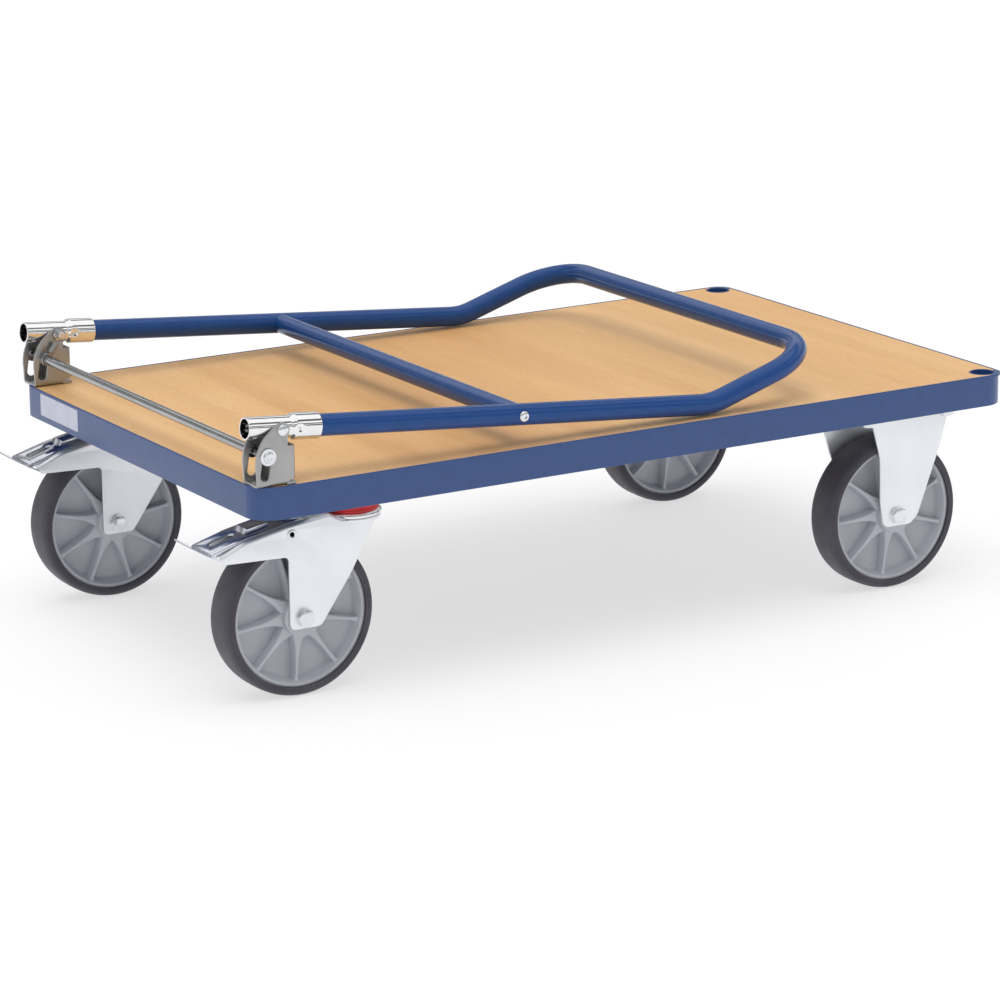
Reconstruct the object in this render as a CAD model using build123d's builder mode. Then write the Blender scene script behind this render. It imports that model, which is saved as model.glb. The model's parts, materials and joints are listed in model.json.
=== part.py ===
from build123d import *
import math
import os

os.makedirs("parts", exist_ok=True)

# Folding platform cart, all sizes in millimetres. +X runs from the push-bow hinge end to the
# fixed-caster end, +Y to the far side, +Z up from the floor. The origin is on the floor under
# the middle of the cart's overall box.

# ---- platform ----
deck_x = 25.0  # middle of the platform; brake pedals reach past its hinge end
deck_length = 1090.0
deck_width = 660.0
deck_top = 277.0
fascia = 40.0  # height of the frame profile
steel = 3.0  # sheet thickness of frame, brackets and forks
corner_r = 32.0
ledge = 30.0  # inward ledge that carries the board
board_t = 14.5
board_gap = 0.4
frame_z = deck_top - fascia  # underside of the frame
board_z = deck_top - 0.5 - board_t
plate_z = 240.0  # underside of the cross rails, where the caster plates bolt on

# ---- stacking sockets in the two corners of the fixed end ----
socket_hole_r = 14.55
socket_r = 16.85
socket_x = deck_x + 520.0
socket_y = 307.0
cutter = 100.0  # side of the squares that trim the plates and the board beside the sockets

# ---- push bow, folded onto the deck ----
bow_r = 13.45
bow_wall = 2.0
leg_y = 308.0
pivot_x = deck_x - 507.5
pivot_z = 343.0
leg_angle = 5.0  # degrees the folded legs slope down to the knees
knee_run = 610.0  # pivot to knee, along the leg
knee_r = 90.0
top_angle = 17.4  # degrees the end part of the folded bow slopes up
top_run = 168.0  # knee to crossbar, along that part
bend_r = 70.0
tail = 41.0  # hinge tube beyond the pivot
tube_r = 13.5
cup_start = 17.0  # widened socket of the hinge tube, from the pivot
cup_end = 54.0
cup_r = 16.25
brace_run = 330.5  # pivot to cross brace
brace_r = 12.5

# ---- hinge brackets and release bar ----
cheek_in = 293.0  # inner face of the inner cheek, measured from the cart's middle plane
cheek_out = 323.0  # inner face of the outer cheek
bar_x = deck_x - 528.0
bar_z = 313.5
bar_tilt = 10.0  # degrees the slots lean from the vertical
bar_travel = 24.6
bar_r = 6.0
journal_r = 4.0
slot_w = 12.8
pin_r = 5.0  # pivot bolt
fit = 0.05  # radial clearance of every running fit

# ---- wheels and casters ----
wheel_r = 100.0
tyre_half = 25.0
rim_r = 88.0
rim_half = 20.5
hub_r = 24.0
hub_half = 29.6
rib_count = 9
rib_start = {"swivel_near": 27, "swivel_far": 7, "fixed_near": 23, "fixed_far": 23}  # first rib, degrees
axle_r = 6.0
sleeve_r = 10.0
cheek_half = 30.0  # inner face of a fork cheek from the wheel's middle plane
plate_t = 4.0
swivel_x = deck_x - 384.0
swivel_y = 256.0
trail = 81.0  # swivel axis to axle
fixed_x = deck_x + 399.0
fixed_y = 260.0
bolt_r = 5.0
swivel_bolts = (105.0, 80.0)
fixed_bolts = (120.0, 105.0)
crown_r = 39.0
king_r = 9.0
brake_pin_x = -14.4  # brake pedal pivot, from the axle
brake_pin_z = 205.0

sides = (("near", -1), ("far", 1))
leg_dir = Vector(math.cos(math.radians(leg_angle)), 0, -math.sin(math.radians(leg_angle)))
top_dir = Vector(math.cos(math.radians(top_angle)), 0, math.sin(math.radians(top_angle)))
slide_dir = Vector(-math.sin(math.radians(bar_tilt)), 0, -math.cos(math.radians(bar_tilt)))


def finish(part, node):
    part.label = node
    export_step(part, f"parts/{node}.step")


def leg_plane(side):
    """Side-view plane through one leg: local X along the leg from the pivot, local Y up."""
    return Plane(origin=(pivot_x, side * leg_y, pivot_z), x_dir=leg_dir, z_dir=(0, -1, 0))


def across(x, y, z, side=1):
    """Plane facing along Y, for pins and bolts."""
    return Plane(origin=(x, y, z), x_dir=(1, 0, 0), z_dir=(0, side, 0))


def bolt_spots(x, y, pattern):
    return [(x + i * pattern[0] / 2, y + j * pattern[1] / 2) for i in (-1, 1) for j in (-1, 1)]


caster_spots = []
for name, side in sides:
    caster_spots += bolt_spots(swivel_x, side * swivel_y, swivel_bolts)
    caster_spots += bolt_spots(fixed_x, side * fixed_y, fixed_bolts)
bracket_spots = [(deck_x + u, side * leg_y) for u in (-526.0, -504.0) for name, side in sides]
socket_spots = [(socket_x, side * socket_y) for name, side in sides]

# ==== platform ====

# Frame: sheet face bent round the platform, with a ledge inside it that carries the board and
# a small top plate in each corner that has a socket.
with BuildPart() as frame:
    for z, inner, height in ((frame_z, steel, fascia), (board_z - steel, steel + ledge, steel)):
        with BuildSketch(Plane.XY.offset(z)):
            with Locations((deck_x, 0)):
                RectangleRounded(deck_length, deck_width, corner_r)
                RectangleRounded(deck_length - 2 * inner, deck_width - 2 * inner,
                                 max(corner_r - inner, 6), mode=Mode.SUBTRACT)
        extrude(amount=height)
    with BuildSketch(Plane.XY.offset(deck_top - steel)):
        with Locations((deck_x, 0)):
            RectangleRounded(deck_length, deck_width, corner_r)
        with Locations(*socket_spots):
            Rectangle(2 * (deck_x + deck_length / 2 - socket_x), 2 * (deck_width / 2 - socket_y),
                      mode=Mode.INTERSECT)
        with Locations(*[(x - cutter / 2, y) for x, y in socket_spots],
                       *[(x, y - cutter / 2 * y / socket_y) for x, y in socket_spots]):
            Rectangle(cutter, cutter, mode=Mode.SUBTRACT)
    extrude(amount=steel)
    with BuildSketch(Plane.XY.offset(frame_z)):
        with Locations(*socket_spots):
            Circle(socket_r + 0.1)
    extrude(amount=fascia, mode=Mode.SUBTRACT)
finish(frame.part, "frame")

# Board: flat wood panel let into the frame, cut round the sockets and drilled for the brackets.
with BuildPart() as deck_board:
    with BuildSketch(Plane.XY.offset(board_z)):
        with Locations((deck_x, 0)):
            inset = steel + board_gap
            RectangleRounded(deck_length - 2 * inset, deck_width - 2 * inset, corner_r - inset)
        with Locations(*socket_spots):
            Circle(socket_r + board_gap, mode=Mode.SUBTRACT)
        shift = cutter / 2 - board_gap
        with Locations(*[(x + shift, y + shift * y / socket_y) for x, y in socket_spots]):
            Rectangle(cutter, cutter, mode=Mode.SUBTRACT)
        with Locations(*bracket_spots):
            Circle(3.05, mode=Mode.SUBTRACT)
    extrude(amount=board_t)
finish(deck_board.part, "deck_board")

# Rails: channels across the frame that the caster plates bolt to.
rail_x = [swivel_x - swivel_bolts[0] / 2, swivel_x + swivel_bolts[0] / 2,
          fixed_x - fixed_bolts[0] / 2, fixed_x + fixed_bolts[0] / 2]
for number, x in enumerate(rail_x, start=1):
    with BuildPart() as rail:
        with BuildSketch(Plane.XZ.offset(-(deck_width / 2 - steel - 0.1))):
            with BuildLine():
                Polyline((x - 22, plate_z), (x + 22, plate_z), (x + 22, board_z - steel),
                         (x + 19, board_z - steel), (x + 19, plate_z + 3), (x - 19, plate_z + 3),
                         (x - 19, board_z - steel), (x - 22, board_z - steel), close=True)
            make_face()
        extrude(amount=deck_width - 2 * steel - 0.2)
        with BuildSketch(Plane.XY.offset(plate_z)):
            with Locations(*[spot for spot in caster_spots if abs(spot[0] - x) < 1]):
                Circle(bolt_r + 0.5)
        extrude(amount=3, mode=Mode.SUBTRACT)
    finish(rail.part, f"cross_rail_{number}")

# Sockets: short lengths of pipe open at both ends, flush with the deck.
for name, side in sides:
    with BuildPart() as socket:
        with BuildSketch(Plane.XY.offset(frame_z)):
            with Locations((socket_x, side * socket_y)):
                Circle(socket_r)
                Circle(socket_hole_r, mode=Mode.SUBTRACT)
        extrude(amount=fascia)
    finish(socket.part, f"corner_socket_{name}")

# Label: blank plate on the end face.
with BuildPart() as label:
    with BuildSketch(Plane.YZ.offset(deck_x - deck_length / 2 - 0.3)):
        with Locations((214.5, deck_top - 17.5)):
            RectangleRounded(111, 28, 2)
    extrude(amount=0.3)
finish(label.part, "label")

# ==== hinge brackets ====

wall_x = pivot_x + 13.1  # inner face of the rear wall, just clear of the raised hinge tube
front_x = deck_x - 542.0


def cheek_face(plane_y):
    """Sail-shaped cheek with a round head at the pivot, drilled for the pivot bolt and slotted
    for the release bar."""
    head = 9.3
    with BuildSketch(Plane.XZ.offset(-plane_y)) as face:
        with BuildLine():
            Line((front_x, deck_top + 0.5), (front_x - 0.8, deck_top + 19))
            ThreePointArc((front_x - 0.8, deck_top + 19), (front_x + 6.5, deck_top + 53.5),
                          (pivot_x - 6.6, pivot_z + 6.6))
            ThreePointArc((pivot_x - 6.6, pivot_z + 6.6), (pivot_x, pivot_z + head),
                          (pivot_x + head, pivot_z))
            Polyline((pivot_x + head, pivot_z), (pivot_x + 6, pivot_z - 12),
                     (pivot_x + 6, deck_top + 46.5), (wall_x + steel, deck_top + 46.5),
                     (wall_x + steel, deck_top + 8), (wall_x - 5.5, deck_top + 4),
                     (wall_x - 5.5, deck_top + 0.5), (front_x, deck_top + 0.5))
        make_face()
        with Locations((pivot_x, pivot_z)):
            Circle(pin_r + fit, mode=Mode.SUBTRACT)
        slot_top = Vector(bar_x, 0, bar_z) - slide_dir * 1.6
        slot_end = Vector(bar_x, 0, bar_z) + slide_dir * (bar_travel - 2.0)
        middle = (slot_top + slot_end) / 2
        with Locations((middle.X, middle.Z)):
            SlotCenterToCenter((slot_top - slot_end).length, slot_w, rotation=90 - bar_tilt,
                               mode=Mode.SUBTRACT)
    return face.sketch


for name, side in sides:
    inner, outer = cheek_in - steel, cheek_out + steel
    low_y = min(side * inner, side * outer)
    with BuildPart() as bracket:
        with BuildSketch(Plane.XY.offset(deck_top)):
            with Locations(((front_x + wall_x + steel) / 2, low_y + (outer - inner) / 2)):
                Rectangle(wall_x + steel - front_x, outer - inner)
            with Locations(*[spot for spot in bracket_spots if spot[1] * side > 0]):
                Circle(3.05, mode=Mode.SUBTRACT)
        extrude(amount=steel)
        for top_y in (low_y + steel, low_y + outer - inner):
            extrude(cheek_face(top_y), amount=steel)
        with BuildSketch(Plane.YZ.offset(wall_x)):
            with Locations((low_y + (outer - inner) / 2, deck_top + 23.25)):
                Rectangle(outer - inner, 46.5)
        extrude(amount=steel)
        corners = bracket.edges().filter_by(Axis.Z).filter_by_position(
            Axis.X, wall_x + steel - 0.1, wall_x + steel + 0.1)
        fillet(corners, 2.5)
    finish(bracket.part, f"hinge_bracket_{name}")

with BuildPart() as bracket_screws:
    with Locations(*[(x, y, deck_top + steel) for x, y in bracket_spots]):
        Cylinder(5.0, 2.5, align=(Align.CENTER, Align.CENTER, Align.MIN))
        Cylinder(3.0, steel + board_t - 1, align=(Align.CENTER, Align.CENTER, Align.MAX))
finish(bracket_screws.part, "bracket_screws")

# Pivot bolts: domed head outside, shank through both cheeks, nut inside the bow.
for name, side in sides:
    with BuildPart() as pivot_bolt:
        with BuildSketch(across(pivot_x, side * (cheek_out + steel), pivot_z, side)):
            Circle(7.2)
        extrude(amount=4.2)
        fillet(pivot_bolt.faces().sort_by(Axis.Y)[side if side < 0 else -1].edges(), 3.0)
        with BuildSketch(across(pivot_x, side * (cheek_out + steel), pivot_z, -side)):
            Circle(pin_r)
        extrude(amount=cheek_out + 2 * steel - cheek_in + 9)
    finish(pivot_bolt.part, f"pivot_bolt_{name}")

with BuildPart() as pivot_nuts:
    for name, side in sides:
        with BuildSketch(across(pivot_x, side * (cheek_in - steel), pivot_z, -side)):
            RegularPolygon(8.0, 6)
            Circle(pin_r + 0.02, mode=Mode.SUBTRACT)
        extrude(amount=3.0)
finish(pivot_nuts.part, "pivot_nuts")

# ==== push bow ====

# Hinge tubes: plated tube open at its tail, widened to a cup that takes the bow's leg.
for name, side in sides:
    with BuildPart() as hinge_tube:
        with BuildSketch(leg_plane(side)):
            with BuildLine():
                Polyline((-tail, tube_r - 2), (-tail, tube_r), (cup_start, tube_r),
                         (cup_start + 2.5, cup_r), (cup_end, cup_r), (cup_end, bow_r + 0.05),
                         (cup_start + 3, bow_r + 0.05), (cup_start + 3, tube_r - 2), close=True)
            make_face()
        revolve(axis=Axis((pivot_x, side * leg_y, pivot_z), leg_dir))
        with BuildSketch(across(pivot_x, side * leg_y, pivot_z)):
            Circle(pin_r + fit)
        extrude(amount=20, both=True, mode=Mode.SUBTRACT)
        dimple = Vector(pivot_x, side * leg_y, pivot_z) + leg_dir * (cup_start + 10)
        with BuildSketch(across(dimple.X, side * (leg_y + bow_r - 4), dimple.Z, side)):
            Circle(2.55)
        extrude(amount=8, mode=Mode.SUBTRACT)
    finish(hinge_tube.part, f"hinge_tube_{name}")

# Bow: one tube bent up at both knees and round both corners.
knee = Vector(pivot_x, 0, pivot_z) + leg_dir * knee_run
crown = knee + top_dir * top_run
start = Vector(pivot_x, 0, pivot_z) + leg_dir * (cup_start + 4)
brace = Vector(pivot_x, 0, pivot_z) + leg_dir * brace_run
rivet = Vector(pivot_x, 0, pivot_z) + leg_dir * (cup_start + 10)
route = [(p.X, side * leg_y, p.Z) for p, side in (
    (start, -1), (knee, -1), (crown, -1), (crown, 1), (knee, 1), (start, 1))]
with BuildPart() as push_bow:
    with BuildLine() as bow_line:
        FilletPolyline(*route, radius=[knee_r, bend_r, bend_r, knee_r])
    with BuildSketch(Plane(origin=route[0], z_dir=leg_dir)):
        Circle(bow_r)
        Circle(bow_r - bow_wall, mode=Mode.SUBTRACT)
    sweep(path=bow_line.wire())
    with BuildSketch(across(brace.X, 0, brace.Z)):
        Circle(3.05)
    extrude(amount=leg_y + 20, both=True, mode=Mode.SUBTRACT)
    with BuildSketch(across(rivet.X, 0, rivet.Z)):
        Circle(2.55)
    extrude(amount=leg_y + 20, both=True, mode=Mode.SUBTRACT)
finish(push_bow.part, "push_bow")

# Cross brace: tube with saddle-cut plugged ends, screwed on through the legs.
with BuildPart() as cross_brace:
    with BuildSketch(across(brace.X, 0, brace.Z)):
        Circle(brace_r)
        Circle(3.05, mode=Mode.SUBTRACT)
    extrude(amount=leg_y, both=True)
    with BuildSketch(across(brace.X, 0, brace.Z)):
        Circle(brace_r - 2)
    extrude(amount=leg_y - 30, both=True, mode=Mode.SUBTRACT)
    for name, side in sides:
        with BuildSketch(Plane(origin=(brace.X, side * leg_y, brace.Z), z_dir=leg_dir)):
            Circle(bow_r + 0.02)
        extrude(amount=40, both=True, mode=Mode.SUBTRACT)
finish(cross_brace.part, "cross_brace")

with BuildPart() as brace_screws:
    for name, side in sides:
        with BuildSketch(across(brace.X, side * (leg_y + bow_r), brace.Z, side)):
            Circle(6.6)
        extrude(amount=3.2)
        with BuildSketch(across(brace.X, side * (leg_y + bow_r), brace.Z, -side)):
            Circle(3.0)
        extrude(amount=40)
finish(brace_screws.part, "brace_screws")

with BuildPart() as leg_rivets:
    for name, side in sides:
        with BuildSketch(across(rivet.X, side * (leg_y + cup_r + 0.8), rivet.Z, -side)):
            Circle(2.5)
        extrude(amount=8)
finish(leg_rivets.part, "leg_rivets")

# ==== release bar ====

# Bar: turned down at each end to run in the bracket slots.
with BuildPart() as release_bar:
    with BuildSketch(across(bar_x, 0, bar_z)):
        Circle(bar_r)
    extrude(amount=cheek_in - steel - 0.6, both=True)
    with BuildSketch(across(bar_x, 0, bar_z)):
        Circle(journal_r)
    extrude(amount=cheek_out + steel + 4, both=True)
finish(release_bar.part, "release_bar")

with BuildPart() as bar_caps:
    for name, side in sides:
        face = side * (cheek_out + steel + 0.5)
        with BuildSketch(across(bar_x, face, bar_z, side)):
            Circle(10.4)
        extrude(amount=2.0)
        with BuildSketch(across(bar_x, face + side * 2, bar_z, side)):
            Circle(6.5)
        extrude(amount=3.0)
    with BuildSketch(across(bar_x, 0, bar_z)):
        Circle(journal_r + 0.02)
    extrude(amount=cheek_out + steel + 4.02, both=True, mode=Mode.SUBTRACT)
finish(bar_caps.part, "bar_caps")

# Return springs: coil body with a ring at each end, one on the pivot bolt and one on the bar.
pull = Vector(bar_x - pivot_x, 0, bar_z - pivot_z)
reach = pull.length
for name, side in sides:
    spring_y = side * (cheek_in - steel - 7.5)
    at_pin = Vector(pivot_x, spring_y, pivot_z)
    with BuildPart() as spring:
        with BuildSketch(Plane(origin=at_pin + pull * (7.2 / reach), z_dir=pull)):
            Circle(3.6)
        extrude(amount=reach - 7.2 - 7.4)
        for centre, radius in ((at_pin, 6.4), (at_pin + pull, 7.0)):
            with BuildSketch(across(centre.X, spring_y, centre.Z)):
                Circle(radius + 0.9)
                Circle(radius - 0.9, mode=Mode.SUBTRACT)
            extrude(amount=0.9, both=True)
    finish(spring.part, f"return_spring_{name}")

# ==== wheels ====


def wheel(x, y, name):
    """Moulded rim with a recessed web, flared ribs and a long hub, inside a rubber tyre."""
    centre = Plane(origin=(x, y, wheel_r), x_dir=(1, 0, 0), z_dir=(0, -1, 0))
    section = Plane(origin=(x, y, wheel_r), x_dir=(1, 0, 0), z_dir=(0, 0, -1))
    spin = Axis((x, y, wheel_r), (0, 1, 0))
    with BuildPart() as rim_part:
        with BuildSketch(section):
            with BuildLine():
                Polyline((sleeve_r + fit, -hub_half), (sleeve_r + fit, hub_half),
                         (hub_r, hub_half), (hub_r + 2, 3), (80, 3), (83, rim_half),
                         (rim_r, rim_half), (rim_r, -rim_half), (83, -rim_half), (80, -3),
                         (hub_r + 2, -3), (hub_r, -hub_half), close=True)
            make_face()
        revolve(axis=spin)
        with BuildSketch(centre):
            with PolarLocations(0, rib_count, start_angle=rib_start[name]):
                Polygon((hub_r - 1, -8), (44, -2.6), (82, -1.9), (82, 1.9), (44, 2.6),
                        (hub_r - 1, 8), align=None)
        extrude(amount=17, both=True)
    finish(rim_part.part, f"rim_{name}")
    with BuildPart() as tyre_part:
        with BuildSketch(section):
            with BuildLine():
                outer_r, shoulder = wheel_r, 7.0
                Line((rim_r + 0.02, -tyre_half + 1), (rim_r + 0.02, tyre_half - 1))
                Line((rim_r + 0.02, tyre_half - 1), (outer_r - shoulder - 2, tyre_half))
                ThreePointArc((outer_r - shoulder - 2, tyre_half), (outer_r - 2.4, tyre_half - 2.4),
                              (outer_r, tyre_half - shoulder - 1))
                Line((outer_r, tyre_half - shoulder - 1), (outer_r, -tyre_half + shoulder + 1))
                ThreePointArc((outer_r, -tyre_half + shoulder + 1),
                              (outer_r - 2.4, -tyre_half + 2.4),
                              (outer_r - shoulder - 2, -tyre_half))
                Line((outer_r - shoulder - 2, -tyre_half), (rim_r + 0.02, -tyre_half + 1))
            make_face()
        revolve(axis=spin)
    finish(tyre_part.part, f"tyre_{name}")


for name, side in sides:
    wheel(swivel_x - trail, side * swivel_y, f"swivel_{name}")
    wheel(fixed_x, side * fixed_y, f"fixed_{name}")


def axle_bolt(x, y):
    """Hex bolt through both cheeks of a fork, head on the near side."""
    with BuildPart() as bolt:
        with BuildSketch(across(x, y - cheek_half - steel, wheel_r, -1)):
            RegularPolygon(10.97, 6)
        extrude(amount=6.0)
        with BuildSketch(across(x, y - cheek_half - steel, wheel_r)):
            Circle(axle_r)
        extrude(amount=2 * cheek_half + 2 * steel + 11)
    return bolt.part


def axle_nut(x, y):
    with BuildPart() as nut:
        with BuildSketch(across(x, y + cheek_half + steel, wheel_r)):
            RegularPolygon(10.97, 6)
            Circle(axle_r + 0.02, mode=Mode.SUBTRACT)
        extrude(amount=9.0)
    return nut.part


def axle_sleeve(x, y):
    with BuildPart() as sleeve:
        with BuildSketch(across(x, y, wheel_r)):
            Circle(sleeve_r)
            Circle(axle_r + 0.1, mode=Mode.SUBTRACT)
        extrude(amount=cheek_half - 0.05, both=True)
    return sleeve.part


# ==== swivel casters ====


def swivel_cheek(x, top_y):
    """Cheek of the swivel fork with the arm that carries the brake pedal."""
    with BuildSketch(Plane.XZ.offset(-top_y)) as face:
        with BuildLine():
            FilletPolyline(
                (x - 111.6, 190), (x - 103, 180.5), (x - 19.5, 177.5), (x - 19.5, 87),
                (x + 22, 87), (x + 64, 146), (x + 100, 211), (x + 40, 211), (x + 33, 224),
                (x - 21, 216.4), (x - 76, 204.6),
                radius=[4.5, 6, 6, 7, 9, 60, 1, 3, 8, 60, 60], close=True)
        make_face()
        with Locations((x, wheel_r)):
            Circle(axle_r + 0.1, mode=Mode.SUBTRACT)
        with Locations((x + brake_pin_x, brake_pin_z)):
            Circle(4.02, mode=Mode.SUBTRACT)
    return face.sketch


for name, side in sides:
    y = side * swivel_y
    axle_x = swivel_x - trail

    # Top plate with a boss that holds the upper ball race.
    with BuildPart() as swivel_plate:
        with BuildSketch(Plane.XY.offset(plate_z - plate_t)):
            with Locations((swivel_x, y)):
                RectangleRounded(140, 110, 8)
                Circle(king_r + 0.02, mode=Mode.SUBTRACT)
            with Locations(*bolt_spots(swivel_x, y, swivel_bolts)):
                Circle(bolt_r + 0.5, mode=Mode.SUBTRACT)
        extrude(amount=plate_t)
        with BuildSketch(Plane.XY.offset(plate_z - plate_t - 8)):
            with Locations((swivel_x, y)):
                Circle(26)
                Circle(king_r + 0.02, mode=Mode.SUBTRACT)
        extrude(amount=8)
    finish(swivel_plate.part, f"swivel_plate_{name}")

    with BuildPart() as king_pin:
        with Locations((swivel_x, y, plate_z)):
            Cylinder(king_r, 41, align=(Align.CENTER, Align.CENTER, Align.MAX))
        with Locations((swivel_x, y, plate_z - 41)):
            Cylinder(15, 6, align=(Align.CENTER, Align.CENTER, Align.MIN))
    finish(king_pin.part, f"king_pin_{name}")

    # Fork: two cheeks joined by a round head web and by a bridge at the root of the arm.
    with BuildPart() as swivel_fork:
        for top_y in (y - cheek_half, y + cheek_half + steel):
            extrude(swivel_cheek(axle_x, top_y), amount=steel)
        with BuildSketch(Plane.XY.offset(207)):
            with Locations((swivel_x - 12, y)):
                Rectangle(58, 2 * cheek_half + 2 * steel)
            with Locations((swivel_x, y)):
                Circle(crown_r - 2)
                Circle(king_r + fit, mode=Mode.SUBTRACT)
        extrude(amount=4)
        with BuildSketch(Plane.XZ.offset(-(y + cheek_half + steel))):
            with BuildLine():
                Polyline((axle_x + 10, 217.5), (axle_x + 31, 220.5), (axle_x + 38, 207),
                         (axle_x + 42, 207), (axle_x + 40, 211), (axle_x + 33, 223.5),
                         (axle_x + 10, 220.5), close=True)
            make_face()
        extrude(amount=2 * cheek_half + 2 * steel)
    finish(swivel_fork.part, f"swivel_fork_{name}")

    # Crown ring: rolled cup on the fork's head that holds the balls.
    with BuildPart() as crown_ring:
        with BuildSketch(Plane.XY.offset(211)):
            with Locations((swivel_x, y)):
                Circle(crown_r)
                Circle(12, mode=Mode.SUBTRACT)
        extrude(amount=7)
        fillet(crown_ring.edges().filter_by(GeomType.CIRCLE).sort_by(SortBy.RADIUS)[-2:], 3.0)
    finish(crown_ring.part, f"crown_ring_{name}")

    with BuildPart() as dust_seal:
        with BuildSketch(Plane.XY.offset(218)):
            with Locations((swivel_x, y)):
                Circle(35.5)
                Circle(27.5, mode=Mode.SUBTRACT)
        extrude(amount=15.5)
    finish(dust_seal.part, f"dust_seal_{name}")

    # Brake pin: tubular rivet with a flared collar outside each cheek.
    with BuildPart() as brake_pin:
        spot = (axle_x + brake_pin_x, y, brake_pin_z)
        with BuildSketch(across(*spot)):
            Circle(4.0)
        extrude(amount=cheek_half + steel, both=True)
        for end in (-1, 1):
            with BuildSketch(across(spot[0], y + end * (cheek_half + steel), spot[2], end)):
                Circle(6.2)
            extrude(amount=1.2)
        with BuildSketch(across(*spot)):
            Circle(3.0)
        extrude(amount=cheek_half + steel + 2, both=True, mode=Mode.SUBTRACT)
    finish(brake_pin.part, f"brake_pin_{name}")

    finish(axle_bolt(axle_x, y), f"swivel_axle_bolt_{name}")
    finish(axle_nut(axle_x, y), f"swivel_axle_nut_{name}")
    finish(axle_sleeve(axle_x, y), f"swivel_axle_sleeve_{name}")

    # Brake pedal: folded channel between the arms, hung on the brake pin, ending in a wide lip.
    with BuildPart() as brake_pedal:
        with BuildSketch(Plane.XZ.offset(-(y + 26))):
            with BuildLine():
                Polyline((axle_x - 2, 221), (axle_x - 21, 218.4), (axle_x - 76, 207.1),
                         (axle_x - 118, 194.8), (axle_x - 118, 192.2), (axle_x - 76, 204.5),
                         (axle_x - 21, 215.8), (axle_x - 2, 218.4), close=True)
            make_face()
        extrude(amount=52)
        for top_y in (y - 23.5, y + 26):
            with BuildSketch(Plane.XZ.offset(-top_y)):
                with BuildLine():
                    Polyline((axle_x - 4, 219), (axle_x - 21, 216.8), (axle_x - 76, 205.5),
                             (axle_x - 117, 193.5), (axle_x - 117, 187.5), (axle_x - 76, 196),
                             (axle_x - 26, 199), (axle_x - 4, 199), close=True)
                make_face()
                with Locations((axle_x + brake_pin_x, brake_pin_z)):
                    Circle(4.0 + fit, mode=Mode.SUBTRACT)
            extrude(amount=2.5)
        with BuildSketch(Plane.XZ.offset(-(y + 48))):
            with BuildLine():
                Polyline((axle_x - 114, 189.3), (axle_x - 130, 197.6), (axle_x - 130, 195.3),
                         (axle_x - 114, 187.0), close=True)
            make_face()
        extrude(amount=96)
        with BuildSketch(Plane.XZ.offset(-(y + 13))):
            with BuildLine():
                Polyline((axle_x - 70, 207), (axle_x - 64, 214.5), (axle_x - 36, 219.2),
                         (axle_x - 36, 214), close=True)
            make_face()
        extrude(amount=26)
        with BuildSketch(Plane.XY.offset(180)):
            with Locations((axle_x - 92, y)):
                SlotOverall(34, 11)
        extrude(amount=40, mode=Mode.SUBTRACT)
    finish(brake_pedal.part, f"brake_pedal_{name}")

# ==== fixed casters ====


def fixed_cheek(x, plane_y, flip):
    """Tapered cheek, wider to one side at the top; the other cheek is the same turned round."""
    with BuildSketch(Plane.XZ.offset(-plane_y)) as face:
        with BuildLine():
            FilletPolyline(
                *[(x + flip * u, z) for u, z in (
                    (-42, plate_z - 1), (-27, 180), (-25, 120), (-21, 86), (20, 86), (32, 97),
                    (64, 180), (81, plate_z - 1))],
                radius=[0.5, 60, 60, 8, 10, 10, 80, 0.5], close=True)
        make_face()
        with Locations((x, wheel_r)):
            Circle(axle_r + 0.1, mode=Mode.SUBTRACT)
    return face.sketch


for name, side in sides:
    y = side * fixed_y
    with BuildPart() as fixed_fork:
        extrude(fixed_cheek(fixed_x, y - cheek_half, 1), amount=steel)
        extrude(fixed_cheek(fixed_x, y + cheek_half + steel, -1), amount=steel)
        with BuildSketch(Plane.XY.offset(plate_z - plate_t)):
            with Locations((fixed_x, y)):
                RectangleRounded(166, 130, 8)
            with Locations(*bolt_spots(fixed_x, y, fixed_bolts)):
                Circle(bolt_r + 0.5, mode=Mode.SUBTRACT)
        extrude(amount=plate_t)
    finish(fixed_fork.part, f"fixed_fork_{name}")

with BuildPart() as fixed_axle_bolts:
    for name, side in sides:
        add(axle_bolt(fixed_x, side * fixed_y))
finish(fixed_axle_bolts.part, "fixed_axle_bolts")
with BuildPart() as fixed_axle_nuts:
    for name, side in sides:
        add(axle_nut(fixed_x, side * fixed_y))
finish(fixed_axle_nuts.part, "fixed_axle_nuts")
with BuildPart() as fixed_axle_sleeves:
    for name, side in sides:
        add(axle_sleeve(fixed_x, side * fixed_y))
finish(fixed_axle_sleeves.part, "fixed_axle_sleeves")

# ==== caster fasteners ====

with BuildPart() as caster_bolts:
    with BuildSketch(Plane.XY.offset(plate_z - plate_t - 6.4)):
        with Locations(*caster_spots):
            RegularPolygon(9.8, 6)
    extrude(amount=6.4)
    with BuildSketch(Plane.XY.offset(plate_z - plate_t)):
        with Locations(*caster_spots):
            Circle(bolt_r)
    extrude(amount=18)
finish(caster_bolts.part, "caster_bolts")

with BuildPart() as caster_nuts:
    with BuildSketch(Plane.XY.offset(plate_z + 3)):
        with Locations(*caster_spots):
            RegularPolygon(9.8, 6)
            Circle(bolt_r + 0.02, mode=Mode.SUBTRACT)
    extrude(amount=8)
finish(caster_nuts.part, "caster_nuts")
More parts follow.
